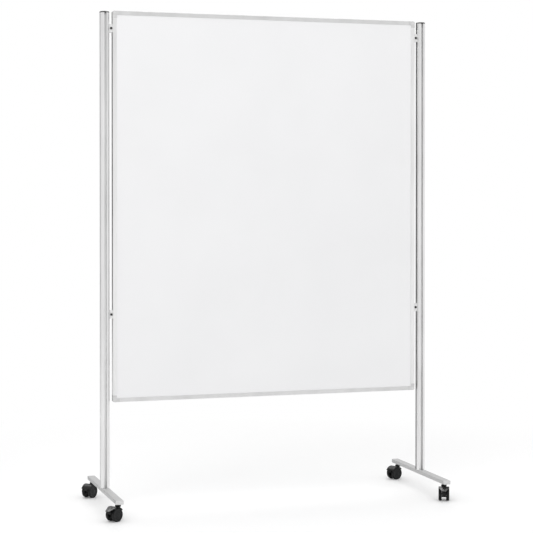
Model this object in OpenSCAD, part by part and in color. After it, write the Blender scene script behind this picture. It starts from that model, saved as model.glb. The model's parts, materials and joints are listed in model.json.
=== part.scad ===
// Rolling whiteboard: a double-sided framed board that slides between two slotted
// posts, each on a foot bar with two twin-wheel castors. Millimetres, +Z up, floor at z = 0.
// +X runs along the board, -Y is the front. The origin is on the floor, midway between the posts.

/* [Board] */
// Width of the board over its frame
board_w = 1250; // [1000:10:1500]
// Height of the board over its frame
board_h = 1500; // [1100:10:1600]
// Depth of the frame, front to back
board_depth = 22; // [20:1:28]
// Width of the frame's face, seen from the front
frame_face = 15; // [13:1:20]
// Thickness of the frame's lips over the writing surface
lip_t = 1.8; // [1.4:0.1:2.4]
// Wall of the frame's hollow chamber
rail_wall = 1.5; // [1.2:0.1:2]
// Width of the frame's hollow chamber
chamber_w = 4; // [3:0.5:5]
// Rounding of the frame's outer edges
rail_round = 2; // [1:0.5:3]
// Thickness of each steel writing sheet
sheet_t = 0.5; // [0.4:0.1:1]
// Length of each leg of a frame corner piece
corner_leg = 26; // [22:1:40]
// Outer radius of a frame corner piece
corner_round = 6; // [3:1:10]
// Inner radius of a frame corner piece
corner_inner = 4; // [1:1:8]
// How far a corner piece stands proud of the rails
corner_proud = 0.4; // [0:0.1:1]
// How far a corner piece's tongue reaches into a rail
tongue_len = 25; // [15:1:27]

/* [Posts] */
// Diameter of a post
post_d = 37; // [35:1:44]
// Length of a post
post_len = 1820; // [1620:10:2000]
// How far the board's top edge stands above the posts
board_rise = 8; // [2:1:20]
// Space between a post and the side of the board
side_gap = 11.5; // [10:0.5:16]
// Width of a slot's mouth
mouth_w = 8; // [7:0.5:9]
// Width of a slot behind its lips
cavity_w = 12; // [11:0.5:12.5]
// Depth of a slot from the post's surface
slot_depth = 8.3; // [7.5:0.1:8.6]
// Thickness of a slot's lips
slot_lip = 2.5; // [2.2:0.1:3]
// Diameter of the bore down the middle of a post
core_d = 10; // [8:1:11]
// Height of a post cap
cap_h = 6; // [4:1:12]
// Chamfer around a post cap's top
cap_chamfer = 2; // [1:0.5:3]
// Length of a post cap's plug
cap_plug = 14; // [8:1:30]

/* [Sliders] */
// Height of a slider
slider_h = 31; // [24:1:50]
// Depth of a slider's block, front to back
slider_w = 18; // [14:1:18]
// Distance of the upper sliders below the board's top edge
slider_from_top = 67; // [50:1:200]
// Distance of the lower sliders above the board's bottom edge
slider_from_bottom = 337; // [100:1:400]
// Diameter of a clamp knob
knob_d = 9.5; // [8:0.5:10]
// Height of a clamp knob in front of its slider
knob_h = 2.5; // [2:0.5:6]
// Diameter of a clamp knob's thread
knob_thread = 4; // [3:0.5:5]
// Length of a clamp knob's thread in the slider
knob_grip = 12; // [8:1:13]
// Diameter of the screws that hold a slider to the frame
screw_d = 4; // [3:0.5:5]
// Length of those screws inside the slider
screw_grip = 8; // [5:1:9]
// Width of a threaded insert in a side rail, front to back
insert_w = 12; // [10:1:16]
// Height of a threaded insert in a side rail
insert_h = 26; // [24:1:40]

/* [Feet] */
// Length of a foot bar without its end caps
foot_len = 530; // [400:10:700]
// Width of a foot bar
foot_w = 30; // [28:1:40]
// Height of a foot bar
foot_h = 15; // [14:1:20]
// Wall of a foot bar
foot_wall = 2; // [1.5:0.5:2.5]
// Rounding of a foot bar's long edges
foot_round = 2.5; // [1:0.5:4]
// Thickness of an end cap outside the bar
end_cap_t = 2.5; // [2:0.5:5]
// Length of an end cap's plug
end_plug = 10; // [6:1:14]
// Distance of a castor's stem from the end of the bar
stem_inset = 28; // [26:1:60]
// Height of a post bolt's head
bolt_head_h = 5.5; // [4:0.5:7]
// Diameter of a post bolt's head
bolt_head_d = 16; // [14:1:18]
// Length of a post bolt inside the post
bolt_grip = 40; // [25:1:80]
// Room around a post bolt's head in the bar's lower wall
bolt_room = 1; // [0.5:0.5:2]

/* [Castors] */
// Diameter of a wheel
wheel_d = 50; // [44:1:60]
// Width of one wheel
wheel_w = 11.5; // [9:0.5:14]
// Thickness of the hood's web between the two wheels
web_t = 17; // [14:0.5:20]
// Trail from the stem to the axle
trail = 20; // [17:0.5:22]
// Diameter of an axle
axle_d = 6; // [5:0.5:8]
// Diameter of a castor's stem
stem_d = 8; // [7:0.5:9]
// Diameter of the stem's collar under the foot bar
collar_d = 12; // [11:1:16]
// Height of the stem's collar
collar_h = 5.7; // [3:0.1:8]
// Diameter of the flange on top of the hood
flange_d = 22; // [19:1:28]
// Height of the flange on top of the hood
flange_h = 3.3; // [2:0.1:6]
// Thickness of the hood over the wheels
guard_t = 2.2; // [1.6:0.1:3]
// Radius of the web around the axle
hub_r = 13; // [9:1:16]
// Depth of the dish in a wheel's outer face
dish = 1; // [0.5:0.1:1.5]
// Width of the plain ring on each side of a wheel's dished face
dish_land = 1; // [0.5:0.25:2]
// Depth of the hollow in a wheel's inner face
hollow = 5; // [3:0.5:6]
// Thickness of a wheel's rim under its tread
rim_t = 4; // [3:0.5:6]
// Wall of a wheel's hub around the axle
hub_wall = 4; // [3:0.5:6]
// Rounding of a wheel's tread
tread_round = 2.5; // [1:0.5:4]
// Plastic left outside the end of an axle
axle_cover = 1.2; // [0.8:0.1:2]
// Outer diameter of a castor socket inside the foot bar
socket_d = 14; // [12:1:18]

/* [Castor turns] */
// Turn of the left front castor's trail from +X
turn_left_front = 214; // [0:1:359]
// Turn of the left rear castor's trail from +X
turn_left_rear = 222; // [0:1:359]
// Turn of the right rear castor's trail from +X
turn_right_rear = 200; // [0:1:359]
// Turn of the right front castor's trail from +X
turn_right_front = 246; // [0:1:359]

/* [Brakes] */
// Reach of a brake pedal from the stem's axis
pedal_reach = 58; // [54:0.5:62]
// Thickness of a brake pedal
pedal_t = 3; // [2:0.5:4]
// Half width of a brake pedal at the hood
pedal_half_back = 19; // [14:0.5:20]
// Half width of a brake pedal at its tip
pedal_half_tip = 8; // [5:0.5:14]
// Height of a brake pedal's tip above the axle
pedal_rise = 16; // [14:0.5:19]
// Diameter of a brake pedal's pin
pin_d = 3; // [2.5:0.5:3.5]
// Thickness of the brake pedal's tongue in the hood
tongue_t = 6; // [4:0.5:8]
// Wall of a brake pedal's eye around its pin
eye_wall = 1.9; // [1.5:0.1:2.5]
// Straight part of a pedal's sides behind its taper
pedal_straight = 6; // [3:0.5:10]

/* [Clearances] */
// Free play around the panel in the frame's groove, front and back
panel_gap = 0.2; // [0.1:0.05:0.4]
// Free play around the panel's edges
panel_edge_gap = 0.5; // [0.2:0.1:1]
// Play of a corner's tongue in the rail's chamber
tongue_gap = 0.15; // [0.05:0.05:0.3]
// Play of a slider in the post's slot
slide_gap = 0.3; // [0.2:0.05:0.4]
// Radial play of a running shaft in its bore
run_gap = 0.05; // [0.02:0.01:0.1]
// Radial play of a fixed pin, bolt or plug in its hole
seat_gap = 0.02; // [0.01:0.01:0.05]
// Radial play of a screw in a plain hole
hole_gap = 0.2; // [0.1:0.1:0.5]
// Play of an end cap's plug in the bar
plug_gap = 0.1; // [0.05:0.05:0.3]
// Gap between the hood's flange and the stem's collar
swivel_gap = 0.3; // [0.2:0.1:0.5]
// Gap between a wheel and the hood's web
wheel_gap = 1; // [0.5:0.1:2]
// Gap between a wheel's tread and the hood over it
guard_gap = 1.5; // [1:0.1:3]
// Gap on each side of the pedal's tongue
pedal_gap = 0.4; // [0.3:0.05:0.6]

/* [Hidden] */

$fn = 48;
eps = 0.01;
over = 1;
big = 200;

// Heights
wheel_r = wheel_d / 2;
guard_in = wheel_r + guard_gap;
guard_out = guard_in + guard_t;
hood_top = wheel_r + guard_out + flange_h;
collar_z = hood_top + swivel_gap;
foot_z = collar_z + collar_h;
foot_top = foot_z + foot_h;
post_top = foot_top + post_len;
board_top = post_top + board_rise;
board_z = board_top - board_h / 2;

// Places
post_r = post_d / 2;
post_x = board_w / 2 + side_gap + post_r;
castor_y = foot_len / 2 - stem_inset;
upper_z = board_top - slider_from_top;
lower_z = board_top - board_h + slider_from_bottom;
screw_z = slider_h / 4;
thread_end_gap = 0.4;

// Frame section, measured inwards from the board's edge
groove_u = 2 * rail_wall + chamber_w;
groove_half = board_depth / 2 - lip_t;
chamber_half = board_depth / 2 - rail_wall;
panel_half = groove_half - panel_gap;
panel_w = board_w - 2 * (groove_u + panel_edge_gap);
panel_h = board_h - 2 * (groove_u + panel_edge_gap);

// Castor section, measured from the stem's axis along the trail
web_half = web_t / 2;
wheel_in = web_half + wheel_gap;
wheel_out = wheel_in + wheel_w;
axle_half = wheel_out - dish - axle_cover;
stem_foot = 4;
stem_end = wheel_r + axle_d / 2 + stem_foot;
stem_end_gap = 0.5;
web_r = guard_in + guard_t / 2;
web_low = 5;
guard_front = 145;
guard_back = 25;
guard_back_braked = 84;
pedal_angle = 74;
pedal_root = [trail + (guard_out + pedal_t / 2) * cos(pedal_angle),
              wheel_r + (guard_out + pedal_t / 2) * sin(pedal_angle)];
pedal_tip = [pedal_reach, wheel_r + pedal_rise];
pedal_slope = atan2(pedal_tip[1] - pedal_root[1], pedal_tip[0] - pedal_root[0]);
pin_cover = 2.2;
pin_r = web_r - pin_d / 2 - pin_cover;
pin_angle = 52;
pin_at = [trail + pin_r * cos(pin_angle), wheel_r + pin_r * sin(pin_angle)];
pin_end_gap = 0.2;
eye_r = pin_d / 2 + eye_wall;
fork_back = 2.5;
fork_under = 1.5;
fork_floor = pin_at[1] - eye_r - fork_under;

// Which corner of the stand each castor is on, and its turn: [x side, y side, turn]
LEFT_FRONT = [-1, -1, turn_left_front];
LEFT_REAR = [-1, 1, turn_left_rear];
RIGHT_REAR = [1, 1, turn_right_rear];
RIGHT_FRONT = [1, -1, turn_right_front];
CASTORS = [LEFT_FRONT, LEFT_REAR, RIGHT_REAR, RIGHT_FRONT];

// ---------------------------------------------------------------- outlines

// A rectangle centred on the origin with rounded corners
module rounded_box(w, h, r) {
    square([w - 2 * r, h], center = true);
    square([w, h - 2 * r], center = true);
    for (x = [-1, 1], y = [-1, 1])
        translate([x * (w / 2 - r), y * (h / 2 - r)]) circle(r);
}

// A square from the origin whose corner at the origin is rounded
module rounded_corner(size, r) {
    translate([r, 0]) square([size - r, size]);
    translate([0, r]) square([size, size - r]);
    translate([r, r]) circle(r);
}

// The round post's section, with one slot on each of its four sides
module post_section() {
    difference() {
        circle(post_r, $fn = 96);
        circle(d = core_d);
        for (a = [0:90:270]) rotate(a) {
            translate([post_r - slot_depth, -cavity_w / 2])
                square([slot_depth - slot_lip, cavity_w]);
            translate([post_r - slot_lip - eps, -mouth_w / 2])
                square([slot_lip + over, mouth_w]);
        }
    }
}

// The frame rail's section: x inwards from the board's edge, y across its depth
module rail_section() {
    difference() {
        intersection() {
            translate([frame_face, 0]) rounded_box(2 * frame_face, board_depth, rail_round);
            translate([frame_face / 2, 0]) square([frame_face, 2 * board_depth], center = true);
        }
        translate([rail_wall, -chamber_half]) square([chamber_w, 2 * chamber_half]);
        translate([groove_u, -groove_half]) square([frame_face, 2 * groove_half]);
    }
}

// ---------------------------------------------------------------- stand

module post(side) {
    color("gainsboro")
        translate([side * post_x, 0, foot_top]) linear_extrude(post_len) post_section();
}

module post_cap(side) {
    color("dimgray") translate([side * post_x, 0, post_top]) {
        cylinder(h = cap_h - cap_chamfer, r = post_r, $fn = 96);
        translate([0, 0, cap_h - cap_chamfer])
            cylinder(h = cap_chamfer, r1 = post_r, r2 = post_r - cap_chamfer, $fn = 96);
        translate([0, 0, -cap_plug])
            cylinder(h = cap_plug + eps, r = core_d / 2 - seat_gap);
    }
}

module foot_bar(side) {
    color("silver") translate([side * post_x, 0, foot_z + foot_h / 2]) difference() {
        rotate([90, 0, 0]) linear_extrude(foot_len, center = true) difference() {
            rounded_box(foot_w, foot_h, foot_round);
            square([foot_w - 2 * foot_wall, foot_h - 2 * foot_wall], center = true);
        }
        cylinder(h = foot_h, r = core_d / 2 + hole_gap);
        translate([0, 0, -foot_h]) cylinder(h = foot_h, d = bolt_head_d + 2 * bolt_room);
        for (y = [-1, 1]) translate([0, y * castor_y, -foot_h])
            cylinder(h = foot_h, r = stem_d / 2 + hole_gap);
    }
}

module end_cap(side, end) {
    plug_w = foot_w - 2 * (foot_wall + plug_gap);
    plug_h = foot_h - 2 * (foot_wall + plug_gap);
    color("lightgray") translate([side * post_x, end * foot_len / 2, foot_z + foot_h / 2])
        rotate([90, 0, 0]) {
            translate([0, 0, end > 0 ? -end_cap_t : 0])
                linear_extrude(end_cap_t) rounded_box(foot_w, foot_h, foot_round);
            translate([0, 0, end > 0 ? -eps : -end_plug])
                linear_extrude(end_plug + eps) square([plug_w, plug_h], center = true);
        }
}

// One bolt from inside each foot bar up into the post's middle bore
module post_bolts() {
    inside_top = foot_top - foot_wall;
    color("dimgray") for (side = [-1, 1]) translate([side * post_x, 0, 0]) {
        translate([0, 0, inside_top - bolt_head_h])
            cylinder(h = bolt_head_h, d = bolt_head_d);
        translate([0, 0, inside_top - eps])
            cylinder(h = foot_wall + bolt_grip, r = core_d / 2 - seat_gap);
    }
}

module castor_sockets() {
    color("gray") for (c = CASTORS) translate([c[0] * post_x, c[1] * castor_y, foot_z + foot_wall])
        difference() {
            cylinder(h = foot_h - 2 * foot_wall, d = socket_d);
            translate([0, 0, -eps])
                cylinder(h = foot_h, r = stem_d / 2 + seat_gap);
        }
}

module stem(c) {
    color("silver") translate([c[0] * post_x, c[1] * castor_y, 0]) {
        translate([0, 0, stem_end])
            cylinder(h = foot_top - foot_wall - stem_end_gap - stem_end, d = stem_d);
        translate([0, 0, collar_z]) cylinder(h = collar_h, d = collar_d);
    }
}

// ---------------------------------------------------------------- board

module panel_layer(y_low, y_high) {
    translate([-panel_w / 2, y_low, board_z - panel_h / 2])
        cube([panel_w, y_high - y_low, panel_h]);
}

module panel_core() {
    color("burlywood") panel_layer(-panel_half + sheet_t, panel_half - sheet_t);
}

module front_sheet() {
    color("whitesmoke") panel_layer(-panel_half, -panel_half + sheet_t);
}

module rear_sheet() {
    color("whitesmoke") panel_layer(panel_half - sheet_t, panel_half);
}

// A rail along +Z from the origin, with its outer edge on the -X side
module rail(length) {
    translate([0, 0, -length / 2]) linear_extrude(length) rail_section();
}

module level_rail(side) {
    color("lightgray") translate([0, 0, board_z + side * board_h / 2])
        rotate([0, side * 90, 0]) rail(board_w - 2 * corner_leg);
}

module upright_rail(side) {
    color("lightgray") difference() {
        translate([side * board_w / 2, 0, board_z]) rotate([0, 0, side > 0 ? 180 : 0])
            rail(board_h - 2 * corner_leg);
        for (z = [upper_z, lower_z]) at_post(side, z) at_screws()
            cylinder(h = 2 * rail_wall, r = screw_d / 2 + hole_gap, center = true);
    }
}

// A corner piece at the board's lower left, turned to the other corners by mirroring
module corner_piece() {
    tongue_w = chamber_w - 2 * tongue_gap;
    tongue_h = 2 * (chamber_half - tongue_gap);
    rotate([90, 0, 0]) {
        difference() {
            linear_extrude(board_depth + 2 * corner_proud, center = true) difference() {
                rounded_corner(corner_leg, corner_round);
                translate([frame_face, frame_face]) rounded_corner(2 * corner_leg, corner_inner);
            }
            translate([groove_u, groove_u, 0]) linear_extrude(2 * groove_half, center = true)
                square(2 * corner_leg);
        }
        for (turn = [0, 1]) mirror([turn, -turn, 0])
            translate([corner_leg - eps, rail_wall + tongue_gap, -tongue_h / 2])
                cube([tongue_len, tongue_w, tongue_h]);
    }
}

module corner(x, z) {
    color("darkgray") translate([x * board_w / 2, 0, board_z + z * board_h / 2])
        mirror([x > 0 ? 1 : 0, 0, 0]) mirror([0, 0, z > 0 ? 1 : 0]) corner_piece();
}

// Places its children at a post's axis with their +X towards the board
module at_post(side, z) {
    translate([side * post_x, 0, z]) mirror([side > 0 ? 1 : 0, 0, 0]) children();
}

// Places its children on both fixing screws of a slider, along +X
module at_screws() {
    for (turn = [-1, 1]) translate([post_r + side_gap, 0, turn * screw_z])
        rotate([0, 90, 0]) children();
}

// A T-shaped slider: its foot runs behind the slot's lips, its block fills the side gap
module slider(side, z) {
    foot_x = post_r - slot_depth + slide_gap;
    foot_half = cavity_w / 2 - slide_gap;
    neck_half = mouth_w / 2 - slide_gap;
    block_x = post_r * cos(asin(slider_w / post_d));
    color("gainsboro") at_post(side, z) difference() {
        union() {
            translate([foot_x, -foot_half, -slider_h / 2])
                cube([slot_depth - slot_lip - 2 * slide_gap, 2 * foot_half, slider_h]);
            translate([foot_x + eps, -neck_half, -slider_h / 2])
                cube([slot_depth + eps, 2 * neck_half, slider_h]);
            difference() {
                translate([block_x, -slider_w / 2, -slider_h / 2])
                    cube([post_r + side_gap - block_x, slider_w, slider_h]);
                cylinder(h = 2 * slider_h, r = post_r + slide_gap, center = true, $fn = 96);
            }
        }
        translate([post_r + side_gap / 2, -slider_w / 2 + knob_grip, 0]) rotate([90, 0, 0])
            cylinder(h = big, r = knob_thread / 2 + seat_gap);
        at_screws() translate([0, 0, -screw_grip])
            cylinder(h = big, r = screw_d / 2 + seat_gap);
    }
}

// Four clamp knobs on the front of the sliders
module clamp_knobs() {
    color("black") for (side = [-1, 1], z = [upper_z, lower_z]) at_post(side, z)
        translate([post_r + side_gap / 2, -slider_w / 2, 0]) rotate([90, 0, 0]) {
            cylinder(h = knob_h, d = knob_d);
            translate([0, 0, thread_end_gap - knob_grip])
                cylinder(h = knob_grip, d = knob_thread);
        }
}

// Screws that hold the sliders to the side rails
module slider_screws() {
    color("silver") for (side = [-1, 1], z = [upper_z, lower_z]) at_post(side, z)
        at_screws() translate([0, 0, thread_end_gap - screw_grip])
            cylinder(h = screw_grip + rail_wall + chamber_w - 2 * thread_end_gap, d = screw_d);
}

// Threaded inserts in the side rails' chambers
module rail_inserts() {
    color("gray") for (side = [-1, 1], z = [upper_z, lower_z]) at_post(side, z) difference() {
        translate([post_r + side_gap + rail_wall, -insert_w / 2, -insert_h / 2])
            cube([chamber_w, insert_w, insert_h]);
        at_screws() cylinder(h = big, r = screw_d / 2 + seat_gap);
    }
}

// ---------------------------------------------------------------- castors

// Places its children on a castor's swivel axis with +X along the trail
module at_castor(c) {
    translate([c[0] * post_x, c[1] * castor_y, 0]) rotate([0, 0, c[2]]) children();
}

// Extrudes a side outline (x along the trail, y up) across the castor
module across(width) {
    rotate([90, 0, 0]) linear_extrude(width, center = true) children();
}

// The web between the wheels: a flat-bottomed arch over a round hub
module web_outline() {
    intersection() {
        translate([trail, wheel_r]) circle(web_r);
        translate([trail - big / 2, wheel_r + web_low]) square(big);
    }
    translate([trail, wheel_r]) circle(hub_r);
    translate([trail - hub_r, wheel_r]) square([2 * hub_r, web_low + eps]);
}

// The arc of the hood over the wheels, from the back angle to the front one
module guard_outline(back) {
    steps = 6;
    span = guard_front - back;
    translate([trail, wheel_r]) intersection() {
        difference() {
            circle(guard_out);
            circle(guard_in);
        }
        polygon(concat([[0, 0]],
            [for (i = [0:steps]) 2 * guard_out * [cos(back + span * i / steps),
                                                  sin(back + span * i / steps)]]));
    }
}

module hood(c, braked) {
    color([0.13, 0.13, 0.14]) at_castor(c) difference() {
        union() {
            across(web_t) web_outline();
            across(2 * wheel_out) guard_outline(braked ? guard_back_braked : guard_back);
            translate([0, 0, wheel_r + web_low])
                cylinder(h = hood_top - wheel_r - web_low, r = web_half);
            translate([0, 0, hood_top - flange_h - guard_t])
                cylinder(h = flange_h + guard_t, d = flange_d);
        }
        translate([0, 0, stem_end - stem_end_gap])
            cylinder(h = big, r = stem_d / 2 + run_gap);
        translate([trail, 0, wheel_r]) rotate([90, 0, 0])
            cylinder(h = big, r = axle_d / 2 + seat_gap, center = true);
        if (braked) {
            translate([pin_at[0] - eye_r - fork_back, -tongue_t / 2 - pedal_gap, fork_floor])
                cube([big, tongue_t + 2 * pedal_gap, big]);
            translate([pin_at[0], 0, pin_at[1]]) rotate([90, 0, 0])
                cylinder(h = big, r = pin_d / 2 + seat_gap, center = true);
        }
    }
}

module axle(c) {
    color("silver") at_castor(c) translate([trail, 0, wheel_r]) rotate([90, 0, 0])
        cylinder(h = 2 * axle_half, d = axle_d, center = true);
}

// A wheel's half section: x out from the axle, y from its inner face to its outer face
module wheel_section() {
    hub_out = axle_d / 2 + hub_wall;
    rim_in = wheel_r - rim_t;
    difference() {
        union() {
            square([wheel_r - tread_round, wheel_w]);
            translate([0, tread_round]) square([wheel_r, wheel_w - 2 * tread_round]);
            for (y = [tread_round, wheel_w - tread_round])
                translate([wheel_r - tread_round, y]) circle(tread_round);
        }
        translate([0, -eps])
            square([axle_d / 2 + run_gap, axle_half - wheel_in + stem_end_gap]);
        translate([hub_out + dish_land, wheel_w - dish])
            square([rim_in - hub_out - 2 * dish_land, dish + over]);
        translate([hub_out, -over]) square([rim_in - hub_out, hollow + over]);
    }
}

// hand is 1 for the wheel on the trail's left and -1 for the one on its right
module wheel(c, hand) {
    color([0.1, 0.1, 0.11]) at_castor(c) translate([trail, hand * wheel_in, wheel_r])
        rotate([-hand * 90, 0, 0]) rotate_extrude($fn = 72) wheel_section();
}

// Side outline of a pedal plate, from its root over the hood to its tip
module pedal_plate_outline() {
    translate(pedal_root) rotate(pedal_slope) translate([0, -pedal_t / 2])
        square([norm(pedal_tip - pedal_root), pedal_t]);
}

module pedal_tongue_outline() {
    difference() {
        union() {
            translate(pin_at) circle(eye_r);
            translate(pin_at) rotate(pedal_slope) translate([-eye_r, 0])
                square([2 * eye_r, guard_out - pin_r + pedal_t / 2]);
        }
        translate(pin_at) circle(pin_d / 2 + run_gap);
    }
}

// The pedal's outline from above: straight sides, then a taper to the tip
module pedal_plan() {
    back = pedal_root[0] - pedal_t;
    straight = pedal_root[0] + pedal_straight;
    tip = pedal_reach + pedal_t;
    polygon([[back, -pedal_half_back], [straight, -pedal_half_back], [tip, -pedal_half_tip],
             [tip, pedal_half_tip], [straight, pedal_half_back], [back, pedal_half_back]]);
}

module pedal(c) {
    color([0.2, 0.2, 0.21]) at_castor(c) {
        intersection() {
            across(2 * pedal_half_back) pedal_plate_outline();
            linear_extrude(2 * hood_top) pedal_plan();
        }
        across(tongue_t) pedal_tongue_outline();
    }
}

module pedal_pin(c) {
    color("silver") at_castor(c) translate([pin_at[0], 0, pin_at[1]]) rotate([90, 0, 0])
        cylinder(h = web_t - 2 * pin_end_gap, d = pin_d, center = true);
}

// ---------------------------------------------------------------- nodes

post(-1);  // left_post
post(1);  // right_post
post_cap(-1);  // left_post_cap
post_cap(1);  // right_post_cap
foot_bar(-1);  // left_foot_bar
foot_bar(1);  // right_foot_bar
end_cap(-1, -1);  // left_front_end_cap
end_cap(-1, 1);  // left_rear_end_cap
end_cap(1, 1);  // right_rear_end_cap
end_cap(1, -1);  // right_front_end_cap
post_bolts();
castor_sockets();
stem(LEFT_FRONT);  // left_front_stem
stem(LEFT_REAR);  // left_rear_stem
stem(RIGHT_REAR);  // right_rear_stem
stem(RIGHT_FRONT);  // right_front_stem
panel_core();
front_sheet();
rear_sheet();
level_rail(1);  // top_rail
level_rail(-1);  // bottom_rail
upright_rail(-1);  // left_rail
upright_rail(1);  // right_rail
corner(-1, 1);  // top_left_corner
corner(1, 1);  // top_right_corner
corner(-1, -1);  // bottom_left_corner
corner(1, -1);  // bottom_right_corner
slider(-1, upper_z);  // upper_left_slider
slider(-1, lower_z);  // lower_left_slider
slider(1, upper_z);  // upper_right_slider
slider(1, lower_z);  // lower_right_slider
clamp_knobs();
slider_screws();
rail_inserts();
hood(LEFT_FRONT, true);  // left_front_hood
axle(LEFT_FRONT);  // left_front_axle
wheel(LEFT_FRONT, 1);  // left_front_wheel_a
wheel(LEFT_FRONT, -1);  // left_front_wheel_b
hood(LEFT_REAR, false);  // left_rear_hood
axle(LEFT_REAR);  // left_rear_axle
wheel(LEFT_REAR, 1);  // left_rear_wheel_a
wheel(LEFT_REAR, -1);  // left_rear_wheel_b
hood(RIGHT_REAR, false);  // right_rear_hood
axle(RIGHT_REAR);  // right_rear_axle
wheel(RIGHT_REAR, 1);  // right_rear_wheel_a
wheel(RIGHT_REAR, -1);  // right_rear_wheel_b
hood(RIGHT_FRONT, true);  // right_front_hood
axle(RIGHT_FRONT);  // right_front_axle
wheel(RIGHT_FRONT, 1);  // right_front_wheel_a
wheel(RIGHT_FRONT, -1);  // right_front_wheel_b
pedal(LEFT_FRONT);  // left_front_pedal
pedal_pin(LEFT_FRONT);  // left_front_pedal_pin
pedal(RIGHT_FRONT);  // right_front_pedal
pedal_pin(RIGHT_FRONT);  // right_front_pedal_pin
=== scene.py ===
# %% [markdown]
# # A rolling whiteboard, dressed in Blender
#
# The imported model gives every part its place: two slotted posts on wheeled feet carry a
# framed writing board that slides up and down. This lesson puts real surfaces on that
# frame. Before each step, a few sentences say what the piece is in the workshop and why
# it is made this way. All sizes are in metres, +X runs along the board, -Y is the front.

# %% Load the frame
import json

import bmesh
import bpy
import numpy as np
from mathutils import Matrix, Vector
from mathutils.geometry import tessellate_polygon


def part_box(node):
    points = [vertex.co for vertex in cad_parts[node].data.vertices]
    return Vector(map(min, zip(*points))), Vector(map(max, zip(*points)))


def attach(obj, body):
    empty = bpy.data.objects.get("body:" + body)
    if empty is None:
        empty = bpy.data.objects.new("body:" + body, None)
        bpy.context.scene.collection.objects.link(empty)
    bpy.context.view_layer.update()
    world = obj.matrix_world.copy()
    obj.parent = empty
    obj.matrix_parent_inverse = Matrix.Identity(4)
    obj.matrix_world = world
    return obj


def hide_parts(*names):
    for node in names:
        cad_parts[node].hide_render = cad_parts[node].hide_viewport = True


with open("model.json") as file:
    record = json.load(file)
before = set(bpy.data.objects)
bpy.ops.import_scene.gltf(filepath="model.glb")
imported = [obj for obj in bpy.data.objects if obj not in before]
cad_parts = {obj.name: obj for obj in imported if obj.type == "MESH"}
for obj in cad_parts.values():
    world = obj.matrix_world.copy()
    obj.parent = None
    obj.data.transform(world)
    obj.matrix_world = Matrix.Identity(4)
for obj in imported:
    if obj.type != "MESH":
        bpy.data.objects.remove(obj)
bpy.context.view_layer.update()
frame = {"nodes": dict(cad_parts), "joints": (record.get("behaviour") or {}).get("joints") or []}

MM = 0.001
BOX = {name: np.array(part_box(name)) for name in frame["nodes"]}
JOINT = {joint["name"]: joint for joint in frame["joints"]}

# %% [markdown]
# ## Outlines
#
# Most of this stand is extruded: a die cuts an outline and the metal runs through it.
# So the first helpers make closed outlines, as arrays of (x, y) points that run
# anticlockwise. Sharp edges do not exist on real extrusions, and the small rounds are
# what catches the light, so every corner gets a radius.

# %% Outline helpers
TINY = 1e-7  # points closer than this count as one


def unit(vectors):
    """Each vector divided by its length."""
    return vectors / np.linalg.norm(vectors, axis=-1, keepdims=True)


def tidy_loop(points):
    """The same closed outline without points that repeat the one before them."""
    step = np.linalg.norm(points - np.roll(points, 1, axis=0), axis=1)
    return points[step > TINY]


def rounded(corners, radii, steps=4):
    """A closed outline with round corners. Each corner gives way to an arc of its radius
    that meets both sides at radius / tan(half the corner's angle) from the corner."""
    p = np.asarray(corners, float)
    radii = np.broadcast_to(np.asarray(radii, float), len(p))
    before = unit(np.roll(p, 1, axis=0) - p)
    after = unit(np.roll(p, -1, axis=0) - p)
    half = np.arccos(np.clip((before * after).sum(1), -1, 1)) / 2
    reach = (radii / np.tan(half))[:, None]
    centre = p + unit(before + after) * (radii / np.sin(half))[:, None]
    first = (p + before * reach - centre)[:, None]
    last = (p + after * reach - centre)[:, None]
    turn = (np.pi - 2 * half)[:, None, None]
    t = np.linspace(0, 1, steps + 1)[None, :, None]
    arc = (np.sin((1 - t) * turn) * first + np.sin(t * turn) * last) / np.sin(turn)
    return tidy_loop((centre[:, None] + arc).reshape(-1, 2))


def rectangle(width, height, radius, steps=4):
    """A rounded rectangle about the origin."""
    w, h = width / 2, height / 2
    return rounded([(w, -h), (w, h), (-w, h), (-w, -h)], radius, steps)


def ring(radius, count=32):
    """A circle about the origin: (radius cos a, radius sin a)."""
    a = np.arange(count) * 2 * np.pi / count
    return radius * np.stack([np.cos(a), np.sin(a)], axis=1)


print("a rounded square:", len(rectangle(1, 1, 0.1)), "points")

# %% [markdown]
# ## Surfaces
#
# Two shapes cover nearly everything here. A *prism* carries an outline along a straight
# line and draws it in a little at both ends, which rounds the end edges. A *lathe* turns
# a profile about an axis. Both are one function of two parameters, worked out as whole
# arrays. A part is its points, its faces and a flat map in metres, so that a finish can
# follow the length of a bar: u runs across it and v along it.

# %% Faces of a grid
def grid_faces(rows, columns, closed=True):
    """Four-cornered faces between neighbouring rows of a grid of points."""
    last = columns if closed else columns - 1
    r, c = np.meshgrid(np.arange(rows - 1), np.arange(last), indexing="ij")
    d = (c + 1) % columns
    return np.stack([r * columns + c, r * columns + d, (r + 1) * columns + d,
                     (r + 1) * columns + c], axis=-1).reshape(-1, 4)


print("a closed strip of 12 points:", len(grid_faces(2, 12)), "faces")

# %% [markdown]
# ### Prisms
#
# Bars, rails and caps are prisms. At each end the outline is drawn in step by step, on a
# quarter circle, so the end edge comes out round. The flat ends are cut into triangles,
# because an end may have holes in it.

# %% Prism
def inset(loop, depth):
    """The outline moved inwards by depth, along the normal halfway between its sides: a
    corner moves by depth / cos(half its turn), and by twice the depth at most."""
    ahead = np.roll(loop, -1, axis=0) - loop
    behind = loop - np.roll(loop, 1, axis=0)
    sides = [unit(np.stack([s[:, 1], -s[:, 0]], axis=1)) for s in (ahead, behind)]
    normal = unit(sides[0] + sides[1])
    shrink = (normal * sides[0]).sum(1, keepdims=True).clip(0.5, 1)
    return loop - normal * depth / shrink


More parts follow.
